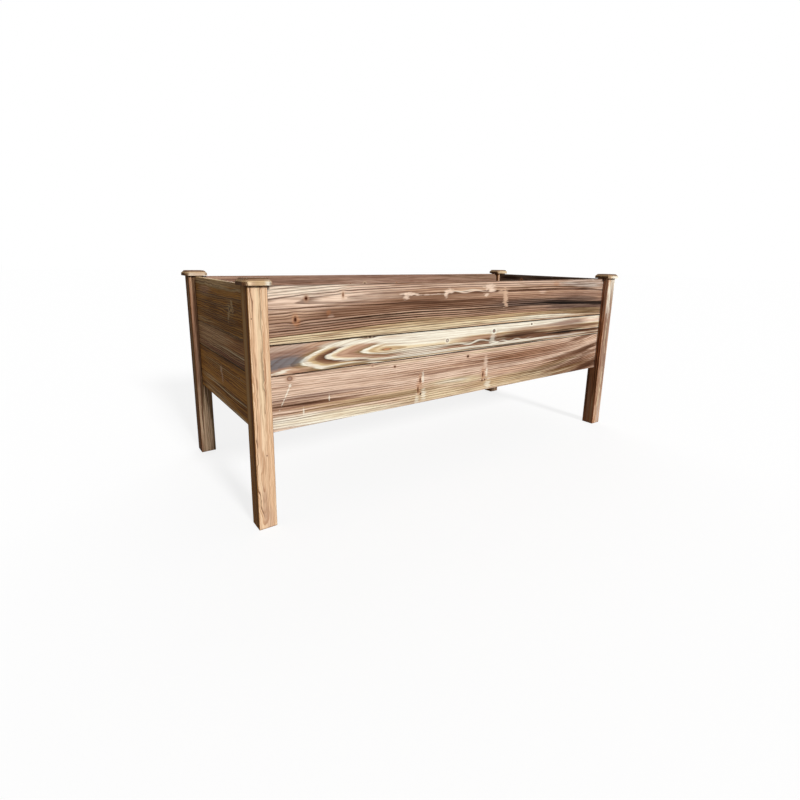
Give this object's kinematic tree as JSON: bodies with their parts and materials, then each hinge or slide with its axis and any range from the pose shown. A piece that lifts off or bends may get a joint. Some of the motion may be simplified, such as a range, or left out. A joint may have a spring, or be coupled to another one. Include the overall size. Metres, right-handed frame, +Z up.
{
  "type": "raised planter on legs",
  "caption": "Long raised wooden planter: tongue-and-groove charred boards slid into grooved square legs with flat caps, over a slatted floor that holds soil off the ground.",
  "frame": {"origin": "on the ground under the middle of the planter", "axes": "+X along the length, -Y towards the front wall, +Z up"},
  "size_m": [1.857, 0.798, 0.767],
  "materials": {
    "post_wood": "torched and brushed softwood, matt",
    "cap_wood": "torched and brushed softwood, matt",
    "board_wood": "torched and brushed softwood, matt",
    "floor_wood": "bare sawn softwood, matt",
    "dowel_wood": "bare turned wood, matt",
    "screw_steel": "zinc plated"
  },
  "bodies": {
    "root": {"post_front_left": "post_wood", "post_front_right": "post_wood", "post_back_left": "post_wood", "post_back_right": "post_wood", "cap_front_left": "cap_wood", "cap_front_right": "cap_wood", "cap_back_left": "cap_wood", "cap_back_right": "cap_wood", "front_board_bottom": "board_wood", "front_board_middle": "board_wood", "front_board_top": "board_wood", "back_board_bottom": "board_wood", "back_board_middle": "board_wood", "back_board_top": "board_wood", "left_end_board_bottom": "board_wood", "left_end_board_middle": "board_wood", "left_end_board_top": "board_wood", "right_end_board_bottom": "board_wood", "right_end_board_middle": "board_wood", "right_end_board_top": "board_wood", "floor_cleat_front": "floor_wood", "floor_cleat_back": "floor_wood", "floor_cleat_left": "floor_wood", "floor_cleat_right": "floor_wood", "floor_slat_01": "floor_wood", "floor_slat_02": "floor_wood", "floor_slat_03": "floor_wood", "floor_slat_04": "floor_wood", "floor_slat_05": "floor_wood", "floor_slat_06": "floor_wood", "floor_slat_07": "floor_wood", "floor_slat_08": "floor_wood", "floor_slat_09": "floor_wood", "floor_slat_10": "floor_wood", "floor_slat_11": "floor_wood", "floor_slat_12": "floor_wood", "floor_slat_13": "floor_wood", "floor_slat_14": "floor_wood", "centre_batten_front": "floor_wood", "centre_batten_back": "floor_wood", "cap_dowels": "dowel_wood", "slat_screws": "screw_steel", "cleat_screws": "screw_steel", "batten_screws": "screw_steel"}
  },
  "joints": []
}
